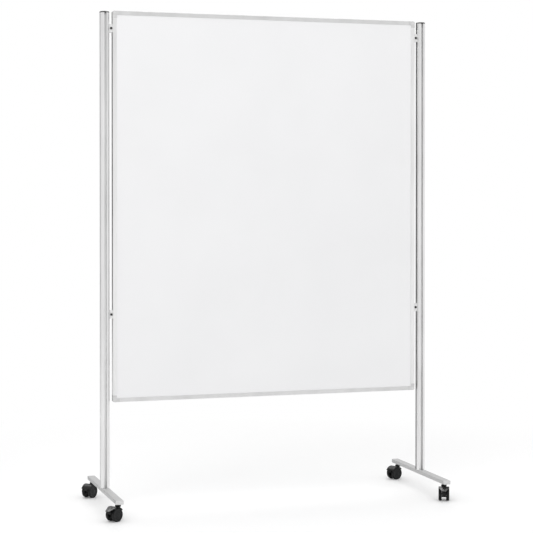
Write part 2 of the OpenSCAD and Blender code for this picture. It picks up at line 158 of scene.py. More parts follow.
def rounded_ends(length, radius, steps):
    """Stations along a length, as their places and insets, on a quarter circle at each
    end: place = radius (1 - cos a) and inset = radius (1 - sin a)."""
    a = np.linspace(0, np.pi / 2, steps + 1)
    place, draw = radius * (1 - np.cos(a)), radius * (1 - np.sin(a))
    return np.concatenate([place, length - place[::-1]]), np.concatenate([draw, draw[::-1]])


def prism(loops, origin, across, up, length, edge=0.3 * MM, steps=3):
    """An outline, with any holes after it, carried along across x up from origin:
    point = origin + x across + y up + z (across x up), for each outline point (x, y).
    The walls are strips between stations; a flat face closes each end."""
    across, up = np.asarray(across, float), np.asarray(up, float)
    along = np.cross(across, up)
    place, draw = rounded_ends(length, edge, steps)
    points, faces, maps, ends, start = [], [], [], {0: [], -1: []}, 0
    for k, loop in enumerate(loops):
        rings = np.stack([inset(loop, d if k == 0 else -d) for d in draw])
        xyz = (origin + rings[..., :1] * across + rings[..., 1:] * up
               + place[:, None, None] * along)
        quads = grid_faces(len(place), len(loop)) + start
        if k:
            quads = quads[:, ::-1]
        girth = np.linalg.norm(np.roll(loop, -1, axis=0) - loop, axis=1).cumsum()
        u = np.broadcast_to(girth, rings.shape[:2])
        v = np.broadcast_to(place[:, None], rings.shape[:2])
        maps.append(np.stack([u, v], axis=-1).reshape(-1, 2))
        points.append(xyz.reshape(-1, 3))
        faces += quads.tolist()
        ends[0].append((rings[0], start))
        ends[-1].append((rings[-1], start + (len(place) - 1) * len(loop)))
        start += len(place) * len(loop)
    for end, rims in ends.items():
        spots = np.concatenate([rim for rim, _ in rims])
        ids = np.concatenate([first + np.arange(len(rim)) for rim, first in rims])
        cap = np.array(tessellate_polygon([[Vector((x, y, 0)) for x, y in rim]
                                           for rim, _ in rims]))
        a, b, c = (spots[cap[:, i]] for i in range(3))
        (x1, y1), (x2, y2) = (b - a).T, (c - a).T
        area = x1 * y2 - y1 * x2
        wrong = area > 0 if end == 0 else area < 0  # the first end faces back, the last ahead
        cap[wrong] = cap[wrong][:, ::-1]
        faces += ids[cap].tolist()
    return np.concatenate(points), faces, np.concatenate(maps)


square = prism([rectangle(1, 1, 0.1)], (0, 0, 0), (1, 0, 0), (0, 1, 0), 2)
print("a square bar:", len(square[0]), "points,", len(square[1]), "faces")

# %% [markdown]
# ### Turned pieces
#
# Wheels, stems, knobs and round caps come off a lathe: one profile, turned about an axis.
# A wheel's tread, face and hub are then one closed skin with no seam to hide. Each end of
# the profile lies on the axis, where a fan of triangles meets in one point.

# %% Lathe
def lathe(profile, origin, axis, turns, ripple=None):
    """A profile of (radius, height) points turned about an axis through origin:
    point = origin + radius (cos a side + sin a front) + height axis. The profile runs
    anticlockwise from one point on the axis to another. ripple(a, radius, height) may
    change the radius around the turn, for flutes and flats."""
    profile = np.asarray(profile, float)
    axis = unit(np.asarray(axis, float))
    helper = np.array([0.0, 0, 1]) if abs(axis[2]) < 0.9 else np.array([1.0, 0, 0])
    side = unit(np.cross(helper, axis))
    front = np.cross(axis, side)
    a = np.arange(turns) * 2 * np.pi / turns
    r = np.repeat(profile[:, :1], turns, axis=1)
    h = np.repeat(profile[:, 1:], turns, axis=1)
    if ripple is not None:
        r = ripple(a[None], r, h)
    xyz = (origin + (r * np.cos(a))[..., None] * side + (r * np.sin(a))[..., None] * front
           + h[..., None] * axis)
    travel = np.concatenate([[0], np.linalg.norm(np.diff(profile, axis=0), axis=1).cumsum()])
    uv = np.stack(np.broadcast_arrays(a[None] * profile[:, 0].max(), travel[:, None]), -1)
    body = xyz[1:-1]
    faces = grid_faces(len(body), turns).tolist()
    here, ahead = np.arange(turns), (np.arange(turns) + 1) % turns
    count = len(body) * turns
    last = count - turns
    low = np.stack([np.full(turns, count), ahead, here], axis=1)
    top = np.stack([np.full(turns, count + 1), last + here, last + ahead], axis=1)
    points = np.concatenate([body.reshape(-1, 3), xyz[:1, 0], xyz[-1:, 0]])
    maps = np.concatenate([uv[1:-1].reshape(-1, 2), uv[:1, 0], uv[-1:, 0]])
    return points, faces + low.tolist() + top.tolist(), maps


cone = lathe([(0, 0), (1, 0), (0, 1)], (0, 0, 0), (0, 0, 1), 24)
print("a cone:", len(cone[0]), "points,", len(cone[1]), "faces")

# %% [markdown]
# ## Pieces
#
# A piece joins its parts into one mesh, takes a finish, rides on the body that carries
# it and hides the plain part that it stands for. Where its faces turn by more than 32
# degrees the edge stays crisp, and the rest is shaded smooth.

# %% Make a piece
SHARP = np.radians(32)  # edges that turn by more than this stay crisp


def piece(name, parts, material, body, replaces=()):
    """One object from parts of (points, faces, flat map); sharp edges are marked by angle."""
    points, faces, maps, start = [], [], [], 0
    for xyz, quads, uv in parts:
        points.append(xyz)
        faces += [[i + start for i in face] for face in quads]
        maps.append(uv)
        start += len(xyz)
    mesh = bpy.data.meshes.new(name)
    mesh.from_pydata(np.concatenate(points).tolist(), [], faces)
    corner = np.zeros(len(mesh.loops), np.int32)
    mesh.loops.foreach_get("vertex_index", corner)
    flat = mesh.uv_layers.new(name="flat")
    flat.data.foreach_set("uv", np.concatenate(maps)[corner].astype(np.float32).ravel())
    mesh.materials.append(material)
    mesh.shade_smooth()
    mesh.set_sharp_from_angle(angle=SHARP)
    mesh.update()
    thing = bpy.data.objects.new(name, mesh)
    bpy.context.scene.collection.objects.link(thing)
    if replaces:
        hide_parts(*replaces)
    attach(thing, body)
    return thing


print("edges stay crisp from", round(np.degrees(SHARP)), "degrees")

# %% [markdown]
# ## Finishes
#
# A finish starts from the real material: its common name, how its surface was made, and
# what that does to light. Colours are written as screen hex values and turned to linear
# light by one function. One more function adds any shader node, and each finish starts
# with the same two: the surface, and the output that it feeds.

# %% Colours, nodes and finishes
def linear(code):
    """A screen colour such as "E8E9EA" in linear light: ((c + 0.055) / 1.055) ^ 2.4."""
    c = np.array([int(code[i:i + 2], 16) for i in (0, 2, 4)]) / 255
    light = np.where(c <= 0.04045, c / 12.92, ((c + 0.055) / 1.055) ** 2.4)
    return (*light.tolist(), 1.0)


def add(tree, kind, settings=(), links=()):
    """Adds a shader node. Settings name either a property or an input with its value;
    links name an input and what feeds it, an output socket or a node's first output."""
    made = tree.nodes.new(kind)
    for key, value in dict(settings).items():
        if isinstance(key, str) and hasattr(made, key):
            setattr(made, key, value)
        else:
            made.inputs[key].default_value = value
    for key, feed in dict(links).items():
        socket = feed.outputs[0] if isinstance(feed, bpy.types.Node) else feed
        tree.links.new(socket, made.inputs[key])
    return made


FINISHES = []


def finish(name, surface):
    """A new material with one Principled surface: (material, tree, surface node)."""
    made = bpy.data.materials.new(name)
    FINISHES.append(name)
    made.use_nodes = True
    tree = made.node_tree
    tree.nodes.clear()
    shader = add(tree, "ShaderNodeBsdfPrincipled", surface)
    add(tree, "ShaderNodeOutputMaterial", links={"Surface": shader})
    return made, tree, shader


print("screen grey 808080 is", round(linear("808080")[0], 3), "in linear light")

# %% [markdown]
# ### Patterns
#
# Nothing real is the same all over. Patterns read either Object coordinates or the
# piece's own flat map, and their scale comes from a size in millimetres. A finish varies
# in tone, in gloss and in depth, so one function joins its patterns to those three; only
# the paper is equally matt all over.

# %% Patterns
def blotches(tree, size_mm, stretch=(1, 1, 1), flat=False, detail=3.0, rough=0.55):
    """A cloudy pattern from 0 to 1, with blotches about size_mm across, on the piece's
    Object coordinates or its flat map. A stretch under 1 draws it out that way."""
    spot = add(tree, "ShaderNodeTexCoord").outputs["UV" if flat else "Object"]
    place = add(tree, "ShaderNodeMapping", {"Scale": stretch}, {"Vector": spot})
    grain = {"Scale": 1 / (size_mm * MM), "Detail": detail, "Roughness": rough}
    return add(tree, "ShaderNodeTexNoise", grain, {"Vector": place})


def vary(tree, shader, tone, gloss, dents):
    """Joins patterns to a surface. As a pattern goes from low to high, a first value turns
    into a second: tone = (pattern, low, high, colour, colour) and gloss = (pattern, low,
    high, roughness, roughness). dents = (pattern, its depth in mm)."""
    pattern, low, high, first, second = tone
    shift = add(tree, "ShaderNodeMapRange", {"From Min": low, "From Max": high},
                {"Value": pattern})
    colours = {"data_type": "RGBA", 6: linear(first), 7: linear(second)}
    colour = add(tree, "ShaderNodeMix", colours, {0: shift})
    tree.links.new(colour.outputs[2], shader.inputs["Base Color"])
    if gloss:
        pattern, low, high, first, second = gloss
        span = {"From Min": low, "From Max": high, "To Min": first, "To Max": second}
        rough = add(tree, "ShaderNodeMapRange", span, {"Value": pattern})
        tree.links.new(rough.outputs[0], shader.inputs["Roughness"])
    pattern, depth_mm = dents
    dent = add(tree, "ShaderNodeBump", {"Distance": depth_mm * MM, "Strength": 1.0},
               {"Height": pattern})
    tree.links.new(dent.outputs[0], shader.inputs["Normal"])


print("noise scale for 5 mm blotches:", round(1 / (5 * MM)))

# %% [markdown]
# ### Metals
#
# ** Anodised aluminium** is etched before it is anodised, so it is a soft, bright metal
# with faint lines along the way it was drawn. Inside the slots it takes a slightly darker
# copy of its colour, and in the slot on the board's side a near-black one: both are
# painted shade, for the shade that falls in these hollows. **Zinc plate** is a thin bright
# metal with cloudy patches, and **black-oxidised steel** is the same metal under a dark
# film. All are full metals with their default IOR: only colour and roughness differ. Real
# draw lines are a tenth of a millimetre apart; they are drawn 2.5 mm apart, so that they
# show. Lines that run upwards spread light sideways, so upright rails look lighter than
# level ones; here that light is painted into a lighter copy of the frame's colour.

# %% Metal finishes
DRAW_LINE_MM, TARNISH_MM = 2.5, 60.0
PLATING_MM, PIT_MM = 9.0, 1.2  # real pits are a few tenths; these are coarse enough to show


def drawn_aluminium(name, light, dark):
    """Extruded and anodised: lines along the piece's own length, in tone, gloss and depth."""
    made, tree, shader = finish(name, {"Metallic": 1.0})
    lines = blotches(tree, DRAW_LINE_MM, (1, 0.004, 1), flat=True)
    tarnish = blotches(tree, TARNISH_MM, (1, 1, 0.25), detail=2.0)
    both = add(tree, "ShaderNodeMath", {"operation": "MULTIPLY"}, {0: lines, 1: tarnish})
    vary(tree, shader, (both, 0.12, 0.4, light, dark), (lines, 0.3, 0.7, 0.42, 0.54),
         (lines, 0.02))
    return made


def plated_steel(name, light, dark, shine):
    """Electroplated steel: cloudy in tone and gloss, with fine pitting."""
    made, tree, shader = finish(name, {"Metallic": 1.0})
    clouds = blotches(tree, PLATING_MM)
    pits = blotches(tree, PIT_MM)
    vary(tree, shader, (clouds, 0.35, 0.65, light, dark),
         (clouds, 0.3, 0.7, shine, shine + 0.15), (pits, 0.02))
    return made


POST_METAL = drawn_aluminium("anodised_aluminium_post", "EEEEEE", "E0E0E0")
FRAME_METAL = drawn_aluminium("anodised_aluminium_frame", "E0E0E0", "D4D4D4")
# Painted light: the upright rails take a lighter copy of the frame's colours, for the light they
# catch from the sides.
UPRIGHT_PAINTED_LIGHT_METAL = drawn_aluminium("anodised_aluminium_painted_lighter_upright_rails", "F2F2F2", "E6E6E6")
# Painted shade: a slightly darker copy of the post's colours for the faces inside the slots.
SLOT_SHADE_METAL = drawn_aluminium("aluminium_with_painted_shade_in_slots", "EDEDED", "DFDFDF")
# Painted shade: near black, for the deep shade in the slot on the board's side.
BOARD_SIDE_SLOT_SHADE = drawn_aluminium("painted_black_shade_in_board_side_slots", "3C3D3F", "2C2D2F")
ZINC = plated_steel("zinc_plated_steel", "C9CBCC", "AFB2B4", 0.25)
BLACK_STEEL = plated_steel("black_oxidised_steel", "3A3B3D", "2A2B2D", 0.3)
print("finishes so far:", len(FINISHES))

# %% [markdown]
# ### Enamel, powder coat and paper
#
# The **writing sheets** are steel with a fired enamel skin. The skin is glass: smooth,
# white, and not quite flat, so reflections swim a little; dry wiping leaves streaks that
# show only as a change of gloss. **Powder coat** on the foot tubes melts and sets with a
# fine orange peel. The core between the sheets is **paper honeycomb**.

# %% Enamel, powder coat and paper finishes
HAZE_MM, WAVE_MM, WIPE_MM, ENAMEL_PEEL_MM = 380.0, 240.0, 60.0, 3.0
COAT_PEEL_MM, FLECK_MM, CELL_MM = 2.2, 1.6, 14.0  # a real fleck is finer, and would not show


def fired_enamel(name):
    """White enamel: slow waves in the sheet, a finer orange peel, and wiped streaks."""
    made, tree, shader = finish(name, {"IOR": 1.52, "Coat Weight": 0.25,
                                       "Coat Roughness": 0.12})
    haze = blotches(tree, HAZE_MM, detail=2.0)
    wiped = blotches(tree, WIPE_MM, (0.12, 1, 1), detail=2.0)
    waves = blotches(tree, WAVE_MM, detail=1.0)
    peel = blotches(tree, ENAMEL_PEEL_MM, detail=2.0)
    relief = add(tree, "ShaderNodeMath", {"operation": "MULTIPLY_ADD", 1: 0.02},
                 {0: peel, 2: waves})
    vary(tree, shader, (haze, 0.35, 0.65, "EBEBEC", "E9E9EA"),
         (wiped, 0.2, 0.8, 0.275, 0.29), (relief, 0.15))
    return made


def powder_coat(name, light, dark):
    """Powder coat: orange peel a few millimetres across, with a faint fleck in it."""
    made, tree, shader = finish(name, {"IOR": 1.5})
    fleck = blotches(tree, FLECK_MM, rough=0.7)
    peel = blotches(tree, COAT_PEEL_MM, detail=2.0)
    vary(tree, shader, (fleck, 0.3, 0.7, light, dark), (fleck, 0.35, 0.65, 0.42, 0.55),
         (peel, 0.05))
    return made


def honeycomb_paper(name):
    """Brown paper cells as they show at a cut edge, matt all over."""
    made, tree, shader = finish(name, {"Roughness": 0.9})
    spot = add(tree, "ShaderNodeTexCoord").outputs["Object"]
    cells = add(tree, "ShaderNodeTexVoronoi",
                {"feature": "DISTANCE_TO_EDGE", "Scale": 1 / (CELL_MM * MM)}, {"Vector": spot})
    vary(tree, shader, (cells, 0.02, 0.12, "B89E74", "8C7552"), None, (cells, 1.0))
    return made


ENAMEL = fired_enamel("white_enamelled_steel")
FOOT_COAT = powder_coat("grey_powder_coat", "BBBBBB", "AFAFAF")
PAPER = honeycomb_paper("paper_honeycomb")
print("finishes so far:", len(FINISHES))

# %% [markdown]
# ### Moulded plastics
#
# Caps, corners, sliders and castors are injection moulded. The mould's fine spark grain
# scatters light, handling polishes it unevenly, and flow leaves slow changes of tone.
# The castors are black nylon with little gloss. Shoes polish the brake pedals, and pale
# dust settles on the treads.

# %% Plastic finishes
GRAIN_MM, FLOW_MM = 1.6, 14.0  # real spark grain is about 0.2 mm, too fine to show
DUST_MM, SCUFF_MM = 7.0, 1.5


def moulded(name, light, dark, shine, patch=0.12, glint=0.5):
    """Moulded plastic: spark grain in depth, slow clouds in tone, rubbed patches in gloss."""
    made, tree, shader = finish(name, {"IOR": 1.5, "Specular IOR Level": glint})
    flow = blotches(tree, FLOW_MM)
    grain = blotches(tree, GRAIN_MM, detail=2.0)
    vary(tree, shader, (flow, 0.35, 0.65, light, dark),
         (flow, 0.3, 0.7, shine, shine + patch), (grain, 0.03))
    return made


def dusty_tread(name):
    """Black nylon that rolls over floors: pale dust in patches, scuffs along the tread."""
    made, tree, shader = finish(name, {"IOR": 1.5, "Specular IOR Level": 0.2})
    dust = blotches(tree, DUST_MM, detail=5.0, rough=0.65)
    scuff = blotches(tree, SCUFF_MM, (0.15, 1, 1), flat=True)
    worn = add(tree, "ShaderNodeMath", {"operation": "MULTIPLY"}, {0: dust, 1: scuff})
    vary(tree, shader, (worn, 0.22, 0.45, "121313", "1F2021"),
         (worn, 0.2, 0.45, 0.34, 0.6), (scuff, 0.05))
    return made


POST_CAP_ABS = moulded("dark_grey_abs", "505050", "454545", 0.42)
END_CAP_PP = moulded("light_grey_polypropylene", "D7D7D7", "CECECE", 0.4)
CORNER_NYLON = moulded("grey_nylon", "CFCFCF", "C5C5C5", 0.38)
CORNER_PLUG = moulded("pale_grey_polyethylene", "D6D6D6", "CDCDCD", 0.36)
SLIDER_NYLON = moulded("pale_grey_nylon", "E0E0E0", "D5D5D5", 0.4)
KNOB_NYLON = moulded("black_nylon_knob", "1E1E1F", "161617", 0.35)
CASTOR_NYLON = moulded("black_nylon_castor", "1B1B1B", "141414", 0.3, glint=0.25)
PEDAL_NYLON = moulded("black_nylon_pedal", "1B1B1B", "141414", 0.26, patch=0.05, glint=0.4)
TREAD = dusty_tread("black_nylon_tread")
print("finishes so far:", len(FINISHES))

# %% [markdown]
# ## The posts
#
# A post is a round aluminium extrusion with four T slots and a bore down its middle: the
# feet bolt into the bore, and the board's sliders run in the inner slots. The lips of a
# slot are rounded where the die lets the metal turn. One outline carried upwards makes
# the whole post, so its draw lines run all the way up. Its faces are then sorted by how
# far they lie from the middle: faces deeper than the skin take a slightly darker copy of
# the metal, and the slot on the board's side turns near black, both painted shade.

# %% Posts
POST_R = np.ptp(BOX["left_post_cap"][:, 0]) / 2  # the caps are as wide as the posts
BORE_R, SLOT_LIP, SLOT_DEPTH = 5.0 * MM, 2.5 * MM, 8.3 * MM
SLOT_MOUTH, SLOT_CAVITY = 4.0 * MM, 6.0 * MM  # half widths
MOUTH_ROUND, NECK_ROUND, CAVITY_ROUND = 0.7 * MM, 0.3 * MM, 0.4 * MM
ARC_STEPS = 17  # on each quarter of the round outside
POST_Z = BOX["left_post"][:, 2]
POST_X = {"left": BOX["left_post"][:, 0].mean(), "right": BOX["right_post"][:, 0].mean()}


def post_outline():
    """A circle whose four sides open into T slots. Half of the first slot is listed inwards
    as (distance from the middle, half width, round) and mirrored to lead out again."""
    mouth = np.sqrt(POST_R ** 2 - SLOT_MOUTH ** 2)
    neck, floor = POST_R - SLOT_LIP, POST_R - SLOT_DEPTH
    slot = [(mouth, -SLOT_MOUTH, MOUTH_ROUND), (neck, -SLOT_MOUTH, NECK_ROUND),
            (neck, -SLOT_CAVITY, CAVITY_ROUND), (floor, -SLOT_CAVITY, CAVITY_ROUND)]
    slot += [(x, -y, r) for x, y, r in slot[::-1]]
    edge = np.arcsin(SLOT_MOUTH / POST_R)
    a = np.linspace(edge, np.pi / 2 - edge, ARC_STEPS + 1)[1:-1]
    quarter = np.array(slot + [(POST_R * np.cos(t), POST_R * np.sin(t), 0) for t in a])
    turns = np.arange(4) * np.pi / 2
    x = np.concatenate([quarter[:, 0] * np.cos(t) - quarter[:, 1] * np.sin(t) for t in turns])
    y = np.concatenate([quarter[:, 0] * np.sin(t) + quarter[:, 1] * np.cos(t) for t in turns])
    return rounded(np.stack([x, y], axis=1), np.tile(quarter[:, 2], 4))


SKIN, LIP_SKIN = 0.5 * MM, 0.1 * MM  # metal this near the outside stays bright


def paint_slot_shade(thing, x):
    """Painted shade: a slightly darker copy of the metal for every face deeper than the skin,
    and a near-black painted shade for the slot on the board's side and its lips."""
    thing.data.materials.append(SLOT_SHADE_METAL)
    thing.data.materials.append(BOARD_SIDE_SLOT_SHADE)
    centre = np.zeros(3 * len(thing.data.polygons))
    thing.data.polygons.foreach_get("center", centre)
    away, depth, _ = (centre.reshape(-1, 3) - (x, 0, 0)).T
    far = np.hypot(away, depth)
    board_side = away * -np.sign(x) > BORE_R
    # Painted shade: the slot facing the board and its lips, where the board keeps the light out.
    shaded_by_board = board_side & (np.abs(depth) <= SLOT_CAVITY) & (far < POST_R - LIP_SKIN)
    kind = np.where(shaded_by_board, 2, np.where(far < POST_R - SKIN, 1, 0))
    thing.data.polygons.foreach_set("material_index", kind.astype(np.int32))


for side, x in POST_X.items():
    post = prism([post_outline(), ring(BORE_R)], (x, 0, POST_Z[0]), (1, 0, 0), (0, 1, 0),
                 POST_Z[1] - POST_Z[0])
    thing = piece(side + "_post_extrusion", [post], POST_METAL, "stand",
                  [side + "_post"])
    paint_slot_shade(thing, x)
print("posts:", len(post[0]), "points each")

# %% [markdown]
# ## Post caps
#
# Each post ends in a moulded cap with a plug that leads into the bore. Its edge is rolled
# over, and the top is very slightly domed so that it never looks dished. It is round, so
# a profile of arcs is turned on the lathe.

# %% Post caps
def ellipse_arc(centre, radii, first, last, steps):
    """Points from angle first to angle last, in degrees: centre + (rx cos a, ry sin a).
    A single radius makes it a part of a circle."""
    a = np.radians(np.linspace(first, last, steps + 1))
    return centre + np.broadcast_to(radii, 2) * np.stack([np.cos(a), np.sin(a)], axis=1)


CAP_H = BOX["left_post_cap"][1, 2] - POST_Z[1]
CAP_PLUG_L = POST_Z[1] - BOX["left_post_cap"][0, 2]
CAP_PLUG_R, CAP_PLUG_TIP, LEAD_IN = BORE_R - 0.02 * MM, 3.9 * MM, 1.1 * MM
CAP_EDGE, ROLL_W, ROLL_H = 0.4 * MM, 4.0 * MM, 2.8 * MM
DOME_H, DOME_R, DOME_SAG = 0.4 * MM, 8.0 * MM, 0.15 * MM
cap_profile = np.concatenate([
    [(0, -CAP_PLUG_L), (CAP_PLUG_TIP, -CAP_PLUG_L), (CAP_PLUG_R, LEAD_IN - CAP_PLUG_L),
     (CAP_PLUG_R, 0)],
    ellipse_arc((POST_R - CAP_EDGE, CAP_EDGE), CAP_EDGE, -90, 0, 3),
    ellipse_arc((POST_R - ROLL_W, CAP_H - DOME_H - ROLL_H), (ROLL_W, ROLL_H), 0, 84, 8),
    [(DOME_R, CAP_H - DOME_SAG), (0, CAP_H)]])
for side, x in POST_X.items():
    piece(side + "_post_cap_moulding", [lathe(cap_profile, (x, 0, POST_Z[1]), (0, 0, 1), 96)],
          POST_CAP_ABS, "stand", [side + "_post_cap"])
print("post caps:", round(CAP_H / MM, 1), "mm high")

# %% [markdown]
# ## Feet
#
# The foot bars are welded tube with a powder coat, drilled for the bolts. Their drilled
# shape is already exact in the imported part, so it is copied, its triangles are merged
# into whole faces, and a narrow bevel breaks the edges.

# %% Copy a part and break its edges
SAME_SPOT, FLAT = 2e-6, np.radians(0.5)  # closer points are one; a smaller fold is none
EDGE = np.radians(40)  # edges that turn by more than this are rounded


def edged(name, source, material, body, width_mm, segments=2):
    """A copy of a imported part, merged into whole faces and bevelled at its edges."""
    mesh = frame["nodes"][source].data.copy()
    mesh.name = name
    shape = bmesh.new()
    shape.from_mesh(mesh)
    bmesh.ops.remove_doubles(shape, verts=shape.verts, dist=SAME_SPOT)
    bmesh.ops.dissolve_limit(shape, angle_limit=FLAT, verts=shape.verts, edges=shape.edges)
    shape.to_mesh(mesh)
    shape.free()
    mesh.materials.clear()
    mesh.materials.append(material)
    mesh.shade_smooth()
    mesh.set_sharp_from_angle(angle=SHARP)
    thing = bpy.data.objects.new(name, mesh)
    bpy.context.scene.collection.objects.link(thing)
    soft = thing.modifiers.new("edges", "BEVEL")
    soft.width, soft.segments = width_mm * MM, segments
    soft.limit_method, soft.angle_limit = "ANGLE", EDGE
    soft.use_clamp_overlap = True
    soft.harden_normals = True
    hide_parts(source)
    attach(thing, body)
    return thing


print("edges are rounded from", round(np.degrees(EDGE)), "degrees")

# %% [markdown]
# ### Foot bars
#
# One bar lies across under each post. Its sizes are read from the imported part, because
# the end caps and the castors' collars are fitted to it next.

# %% Foot bars
FOOT_W, FOOT_END = np.ptp(BOX["left_foot_bar"][:, 0]), BOX["left_foot_bar"][1, 1]
FOOT_Z, FOOT_TOP = BOX["left_foot_bar"][:, 2]
FOOT_H = FOOT_TOP - FOOT_Z
for side in POST_X:
    edged(side + "_foot_tube", side + "_foot_bar", FOOT_COAT, "stand", 0.25)
print("foot bars:", round(FOOT_END * 2 / MM), "mm long")

# %% [markdown]
# ### Foot caps
#
# An end cap is a flange with soft edges and a hollow plug that is pressed into the tube.
# Both are prisms. The plug is smaller than the tube by its wall and a little air.

# %% Foot caps
FLANGE_T, FLANGE_CORNER, FLANGE_EDGE = 2.5 * MM, 2.5 * MM, 0.7 * MM
TUBE_WALL, PLUG_AIR, PLUG_WALL, PLUG_L = 2.0 * MM, 0.1 * MM, 1.9 * MM, 10 * MM
PLUG_CORNER, HOLLOW_CORNER = 0.8 * MM, 0.6 * MM
plug_w, plug_h = np.array([FOOT_W, FOOT_H]) - 2 * (TUBE_WALL + PLUG_AIR)
plug_loops = [rectangle(plug_w, plug_h, PLUG_CORNER),
              rectangle(plug_w - 2 * PLUG_WALL, plug_h - 2 * PLUG_WALL, HOLLOW_CORNER)]
for side, x in POST_X.items():
    for end, way in (("front", -1), ("rear", 1)):
        middle = np.array([x, way * FOOT_END, FOOT_Z + FOOT_H / 2])
        across = (-way, 0, 0)  # so that across x up points out of the tube
        flange = prism([rectangle(FOOT_W, FOOT_H, FLANGE_CORNER, 6)], middle, across,
                       (0, 0, 1), FLANGE_T, FLANGE_EDGE, 4)
        plug = prism(plug_loops, middle - (0, way * PLUG_L, 0), across, (0, 0, 1), PLUG_L)
        piece(f"{side}_{end}_foot_cap", [flange, plug], END_CAP_PP, "stand",
              [f"{side}_{end}_end_cap"])
print("foot caps:", round(FLANGE_T / MM, 1), "mm thick")

# %% [markdown]
# ## The board's frame
#
# Four lengths of one extrusion frame the board. Its outline is an E: a thin web outside
# with a screw chamber, and two lips that hold the writing sheets. The lengths are cut
# square and meet in the corner pieces. Each rail is the same outline, turned so that its
# own x points inwards at the board, and carried along its side from one corner to the
# next. So the web always lies outside.

# %% Rails
RAIL_FACE, RAIL_DEPTH = np.ptp(BOX["left_rail"][:, 0]), np.ptp(BOX["left_rail"][:, 1])
LIP, WEB = 1.8 * MM, 7 * MM
RAIL_ROUNDS = [0.9 * MM, 0.6 * MM, 0.4 * MM, 0.3 * MM]  # web, lip outside and inside, groove
CHAMBER = (1.5 * MM, 5.5 * MM)  # its near and far side, from the board's edge
CHAMBER_HALF, CHAMBER_ROUND = 9.5 * MM, 0.4 * MM


def rail_outline():
    """The rail's section, mirrored about its middle: x inwards from the board's edge, y
    through its depth. The chamber is a hole in it."""
    deep, groove = RAIL_DEPTH / 2, RAIL_DEPTH / 2 - LIP
    half = [(0, -deep), (RAIL_FACE, -deep), (RAIL_FACE, -groove), (WEB, -groove)]
    corners = half + [(x, -y) for x, y in half[::-1]]
    near, far = CHAMBER
    hole = [(near, -CHAMBER_HALF), (far, -CHAMBER_HALF), (far, CHAMBER_HALF),
            (near, CHAMBER_HALF)]
    return [rounded(corners, RAIL_ROUNDS + RAIL_ROUNDS[::-1], 5), rounded(hole, CHAMBER_ROUND)]


RAILS = {"top": (0, 0, -1), "bottom": (0, 0, 1), "left": (1, 0, 0), "right": (-1, 0, 0)}
for side, inwards in RAILS.items():
    low, high = BOX[side + "_rail"]
    along = np.cross(inwards, (0, 1, 0))
    origin = np.where(along + inwards > 0, low, high) * (1, 0, 1)
    rail = prism(rail_outline(), origin, inwards, (0, 1, 0), abs(along @ (high - low)),
                 0.2 * MM, 2)
    # Painted light: the upright rails take the lighter copy of the frame metal.
    metal = UPRIGHT_PAINTED_LIGHT_METAL if side in ("left", "right") else FRAME_METAL
    piece(side + "_rail_extrusion", [rail], metal, "board",
          [side + "_rail"])
print("rails:", list(RAILS))

# %% [markdown]
# ## The writing board
#
# The sheets and the paper core are flat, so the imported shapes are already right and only
# take a finish. The corner pieces are nylon mouldings pushed into the rails; each shows a
# pale round plug over its mould gate. The plug is a low dome turned about its own axis.

# %% Writing board
def dress(node, material):
    """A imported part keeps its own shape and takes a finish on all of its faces."""
    mesh = frame["nodes"][node].data
    mesh.materials.clear()
    mesh.materials.append(material)
    mesh.polygons.foreach_set("material_index", np.zeros(len(mesh.polygons), np.int32))


for node, material in (("front_sheet", ENAMEL), ("rear_sheet", ENAMEL), ("panel_core", PAPER)):
    dress(node, material)

GATE_R, GATE_ROOT, GATE_WALL, GATE_TOP = 4.5 * MM, -1 * MM, 0.1 * MM, 0.45 * MM
GATE_ROLL = (0.5 * MM, 0.3 * MM)
gate_profile = np.concatenate([
    [(0, GATE_ROOT), (GATE_R, GATE_ROOT), (GATE_R, GATE_WALL)],
    ellipse_arc((GATE_R - GATE_ROLL[0], GATE_WALL), GATE_ROLL, 0, 80, 3), [(0, GATE_TOP)]])
for level, rise in (("top", -1), ("bottom", 1)):
    for side, run in (("left", 1), ("right", -1)):
        name = f"{level}_{side}_corner"
        low, high = BOX[name]
        edged(name + "_moulding", name, CORNER_NYLON, "board", 0.6, 3)
        inwards = np.array([run, 0, rise])
        x, _, z = np.where(inwards > 0, low, high) + RAIL_FACE / 2 * inwards
        plugs = [lathe(gate_profile, (x, y, z), (0, y, 0), 40) for y in (low[1], high[1])]
        piece(name + "_gate_plugs", plugs, CORNER_PLUG, "board")
print("gate plugs:", len(plugs), "on each corner")

# %% [markdown]
# ## Sliders, knobs and fixings
#
# Four nylon sliders carry the board. Each is a T whose foot runs in the post's inner slot
# and whose block fills the gap beside the board, hollowed to the post's curve. A black
# clamp knob in front of the block is a fluted disc with a six-sided socket. It is turned
# on a lathe in one go, and the flutes are a ripple in the radius.

# %% Sliders and knobs
KNOB_R, KNOB_H, SHANK_R = 4.75 * MM, 2.5 * MM, 1.98 * MM
KNOB_CHAMFER, KNOB_ROUND, SOCKET_CHAMFER = 0.3 * MM, 0.7 * MM, 0.2 * MM
SOCKET_R, SOCKET_DEPTH = 2.2 * MM, 1.3 * MM
FLUTES, FLUTE_SHARE, RIM_SHARE = 16, 0.05, 0.85  # shares of the radius
JUST_OVER = 1.01  # a size times this still takes in the points that lie on it
knob_low, knob_high = BOX["clamp_knobs"]
shank = knob_high[1] - knob_low[1] - KNOB_H


def knob_ripple(a, radius, height):
    """Flutes on the rim: radius (1 - share sin^2(n a / 2)); six flats in the socket:
    radius cos 30 / cos(a within its sixth)."""
    sixth = (a + np.pi / 6) % (np.pi / 3) - np.pi / 6
    fluted = radius * (1 - FLUTE_SHARE * np.sin(FLUTES * a / 2) ** 2)
    flats = radius * np.cos(np.pi / 6) / np.cos(sixth)
    deep = height > KNOB_H - SOCKET_DEPTH * JUST_OVER
    in_socket = (radius < SOCKET_R * JUST_OVER) & deep
    return np.where(in_socket, flats, np.where(radius > RIM_SHARE * KNOB_R, fluted, radius))


